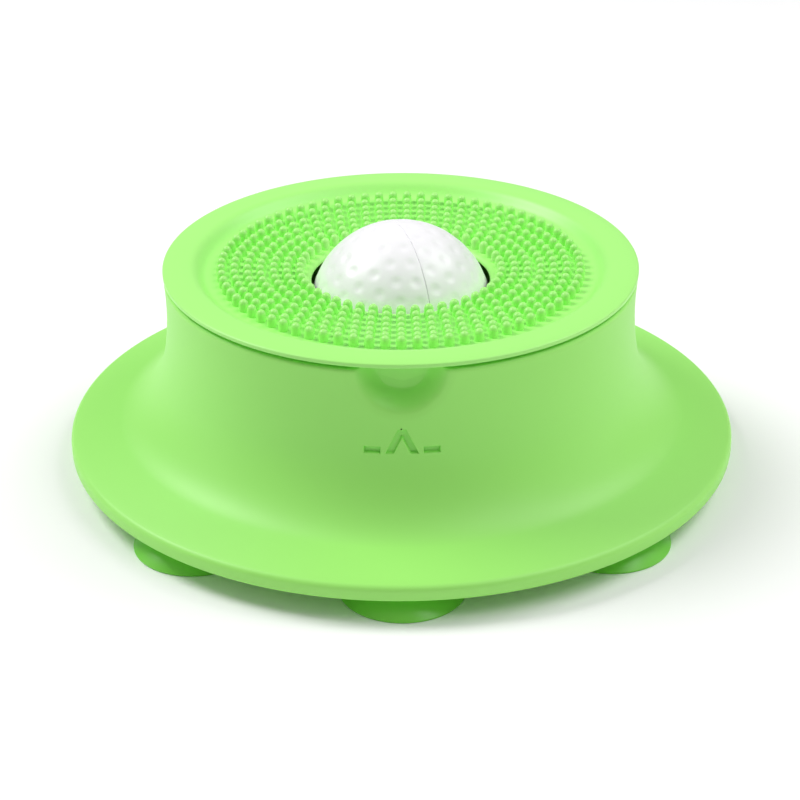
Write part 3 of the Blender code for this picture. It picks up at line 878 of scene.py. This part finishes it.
def makeCups():
    radius = cup["radius"]
    lipInner = radius - cup["lipFlat"]
    ceiling = cup["padTop"] - cup["wall"]
    inner = bend(Vector((0.0, ceiling)), Vector((cup["hollow"], ceiling)), Vector((lipInner, 0.0)), 18)
    inner[0].x = 0.0
    lipEdge = bend(Vector((radius - 0.25 * mm, 0.0)), Vector((radius, 0.0)), Vector((radius, cup["lip"])), 4)
    shoulder = Vector((cup["padRadius"] + cup["shoulder"], cup["padTop"]))
    outer = bend(lipEdge[-1], shoulder, Vector((cup["padRadius"], cup["padTop"])), 18)
    neck = cup["neckRadius"]
    button = rounded([
        (neck, cup["padTop"], 0.3 * mm),
        (neck, cup["headBottom"], 0.3 * mm),
        (cup["headRadius"], cup["headBottom"], 0.3 * mm),
        (cup["headFlat"], cup["headTop"], 0.6 * mm),
        (0.0, cup["headTop"], 0.0),
        (0.0, cup["padTop"], 0.0),
    ])[:-2]
    profile = [*inner, *lipEdge[:-1], *outer, *button, Vector((0.0, cup["headTop"]))]
    piece = addPiece("suction_cups", turned("suction_cup", profile, evenAngles(72)), pvcCup)
    grow(piece, ringTree, {
        "Count": len(cupBoxes),
        "Radius": cup["ring"] - radius,
        "First Turn": math.radians(front),
        "Material": pvcCup,
    })
    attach(piece, "base")
    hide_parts(*[f"suction_cup_{i + 1}" for i in range(len(cupBoxes))])


makeCups()
print("cups made")


# Food bowl, with the ring on its floor that carries the ball

bowl = {
    "rimWidth": 1.8 * mm,
    "rimThickness": 1.6 * mm,
    "wall": 1.6 * mm,
    "taper": 2.4 * mm,
    "outerRound": 9.0 * mm,
    "innerRound": 7.5 * mm,
    "seatOuter": 12.2 * mm,
    "seatInner": 9.8 * mm,
    "seatFoot": 0.4 * mm,
    "seatGap": 0.3 * mm,
    "fillet": 0.3 * mm,
}


def makeBowl():
    rim, low, fillet, wall, foot = bowlHigh.x, bowlLow.z, bowl["fillet"], bowl["wall"], bowl["seatFoot"]
    neck = rim - bowl["rimWidth"]
    taper = neck - bowl["taper"]
    floor = low + wall
    rimLow = bowlHigh.z - bowl["rimThickness"]
    seat = []
    for radius in (bowl["seatOuter"], bowl["seatInner"]):
        under = ballCentre.z - math.sqrt((ballRadius + bowl["seatGap"]) ** 2 - radius**2)
        seat.append((radius, under, fillet))
    profile = rounded([
        (0.0, low, 0.0),
        (taper, low, bowl["outerRound"]),
        (neck, rimLow, fillet),
        (rim, rimLow, fillet),
        (rim, bowlHigh.z, 0.4 * mm),
        (neck - wall, bowlHigh.z, 0.8 * mm),
        (taper - wall, floor, bowl["innerRound"]),
        (seat[0][0] + foot, floor, fillet),
        *seat,
        (seat[1][0] - foot, floor, fillet),
        (0.0, floor, 0.0),
    ], steps=10)
    mesh = turned("food_bowl_moulding", profile, evenAngles(180))
    piece = addPiece("food_bowl_moulding", mesh, absShell)
    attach(piece, "base")
    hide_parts("food_bowl")


# Bottom cover, with two shallow ring grooves, a hole for each cup's neck and one for each screw

cover = {
    "grooves": (24.0 * mm, 46.0 * mm),
    "grooveWidth": 2.4 * mm,
    "grooveDepth": 0.5 * mm,
    "grooveSlope": 0.4 * mm,
    "fillet": 0.3 * mm,
    "edge": 0.4 * mm,
    "cupHole": 3.5 * mm,
    "screwHole": 1.8 * mm,
}


def makeCover():
    low, high, radius, fillet = coverLow.z, coverHigh.z, coverHigh.x, cover["fillet"]
    slope, deep = cover["grooveSlope"], low + cover["grooveDepth"]
    corners = [(0.0, low, 0.0)]
    for start in cover["grooves"]:
        end = start + cover["grooveWidth"]
        corners += [(start, low, fillet), (start + slope, deep, fillet)]
        corners += [(end - slope, deep, fillet), (end, low, fillet)]
    corners += [(radius, low, cover["edge"]), (radius, high, cover["edge"]), (0.0, high, 0.0)]
    mesh = turned("bottom_cover_moulding", rounded(corners), evenAngles(180))
    piece = addPiece("bottom_cover_moulding", mesh, absShell)
    cupPlaces = [((lowCorner + highCorner) / 2).to_2d() for lowCorner, highCorner in cupBoxes]
    punches = [disc(cover["cupHole"], low - mm, high + mm, centre) for centre in cupPlaces]
    punches += [disc(cover["screwHole"], low - mm, high + mm, centre) for centre in screwPlaces]
    cutWith(piece, punches)
    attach(piece, "base")
    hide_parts("bottom_cover")


# Cover screws, pan heads with a cross slot

screw = {
    "crownRadius": 2.0 * mm,
    "headRadius": 2.8 * mm,
    "headGap": 0.3 * mm,
    "shaftRadius": 1.5 * mm,
    "point": 1.5 * mm,
    "slotLength": 3.0 * mm,
    "slotWidth": 0.62 * mm,
    "slotHeight": 2.0 * mm,
    "slotTaper": 0.55,
}


def makeScrews():
    low, high = screwBoxes[0][0].z, screwBoxes[0][1].z
    headTop = coverLow.z - screw["headGap"]
    profile = rounded([
        (0.0, low, 0.0),
        (screw["crownRadius"], low, 0.6 * mm),
        (screw["headRadius"], (low + headTop) / 2, 0.5 * mm),
        (screw["headRadius"], headTop, 0.2 * mm),
        (screw["shaftRadius"], headTop, 0.1 * mm),
        (screw["shaftRadius"], high - screw["point"], 0.2 * mm),
        (0.0, high, 0.0),
    ])
    piece = addPiece("cover_screws", turned("cover_screw", profile, evenAngles(48)), zincScrew)
    slots = []
    for turn in (0.0, 90.0):
        shape = bmesh.new()
        bmesh.ops.create_cube(shape, size=1.0)
        for vert in shape.verts:
            wide = 1.0 if vert.co.z < 0 else screw["slotTaper"]
            vert.co.x *= screw["slotLength"] * wide
            vert.co.y *= screw["slotWidth"]
            vert.co.z *= screw["slotHeight"]
        spin = Matrix.Rotation(math.radians(turn), 4, "Z")
        bmesh.ops.transform(shape, matrix=Matrix.Translation((0, 0, low)) @ spin, verts=shape.verts)
        slots.append(closedMesh("cross_slot", shape))
    cutWith(piece, slots)
    turn = math.atan2(screwPlaces[0].y, screwPlaces[0].x)
    grow(piece, ringTree, {
        "Count": len(screwBoxes),
        "Radius": screwPlaces[0].length,
        "First Turn": turn,
        "Material": zincScrew,
    })
    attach(piece, "base")
    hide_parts(*[f"cover_screw_{i + 1}" for i in range(len(screwBoxes))])


# Seal, a soft ring in the groove of the lid's plug

def makeSeal():
    outer = sealHigh.x
    inner = outer - lid["sealThickness"]
    quarter = (sealHigh.z - sealLow.z) / 4
    middle = (sealHigh.z + sealLow.z) / 2
    profile = rounded([
        (inner, sealLow.z, 0.1 * mm),
        (outer - quarter, sealLow.z, 0.3 * mm),
        (outer, middle - quarter, 0.4 * mm),
        (outer, middle + quarter, 0.4 * mm),
        (outer - quarter, sealHigh.z, 0.3 * mm),
        (inner, sealHigh.z, 0.1 * mm),
    ])
    piece = addPiece("lid_seal_ring", turned("lid_seal_ring", profile, evenAngles(240)), siliconeSeal)
    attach(piece, "lid")
    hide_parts("lid_seal")


makeBowl()
makeCover()
makeScrews()
makeSeal()
print("bowl, cover, screws and seal made")


# Floor, light and camera

def makeFloor(size, colour):
    shape = bmesh.new()
    bmesh.ops.create_grid(shape, x_segments=1, y_segments=1, size=size / 2)
    mesh = bpy.data.meshes.new("floor")
    shape.to_mesh(mesh)
    shape.free()
    material = plainMaterial("matt_paper", {"Base Color": linearColour(colour), "Roughness": 0.9})[0]
    mesh.materials.append(material)
    floor = bpy.data.objects.new("floor", mesh)
    bpy.context.scene.collection.objects.link(floor)


def areaLight(name, azimuth, elevation, distance, size, power):
    # azimuth 0 is in front of the object, 90 to its right
    data = bpy.data.lights.new(name, "AREA")
    data.shape = "DISK"
    data.size = size
    data.energy = power
    lamp = bpy.data.objects.new(name, data)
    flat = distance * math.cos(math.radians(elevation))
    across, deep = math.sin(math.radians(azimuth)), math.cos(math.radians(azimuth))
    lamp.location = (flat * across, -flat * deep, distance * math.sin(math.radians(elevation)))
    lamp.rotation_euler = lamp.location.to_track_quat("Z", "Y").to_euler()
    bpy.context.scene.collection.objects.link(lamp)
    return lamp


makeFloor(6.0, "FFFFFF")  # metres across

lights = {  # azimuth and elevation in degrees, distance and size in metres, power in watts
    "key_left": (-110.0, 50.0, 1.0, 0.5, 6.1),
    "back_right": (110.0, 50.0, 1.0, 0.5, 3.0),
    "front_right": (60.0, 55.0, 1.0, 0.5, 1.9),
    "low_left": (-90.0, 15.0, 0.9, 0.4, 0.38),
    "low_right": (90.0, 15.0, 0.9, 0.4, 0.41),
}
for lightName, values in lights.items():
    areaLight(lightName, *values)

world = bpy.data.worlds.new("studio")
world.use_nodes = True
background = world.node_tree.nodes["Background"]
background.inputs["Color"].default_value = linearColour("FFFFFF")
background.inputs["Strength"].default_value = 0.285
bpy.context.scene.world = world

cameraData = bpy.data.cameras.new("camera")
cameraData.sensor_width = 36.0
cameraData.lens = 97.52
camera = bpy.data.objects.new("camera", cameraData)
camera.location = (-0.001, -0.4841, 0.2627)
camera.rotation_euler = (math.radians(90.0 - 27.31), 0.0, math.radians(-0.08))
camera.rotation_euler.rotate_axis("Z", math.radians(-0.3))
bpy.context.scene.collection.objects.link(camera)
bpy.context.scene.camera = camera
bpy.context.scene.view_settings.view_transform = "Standard"
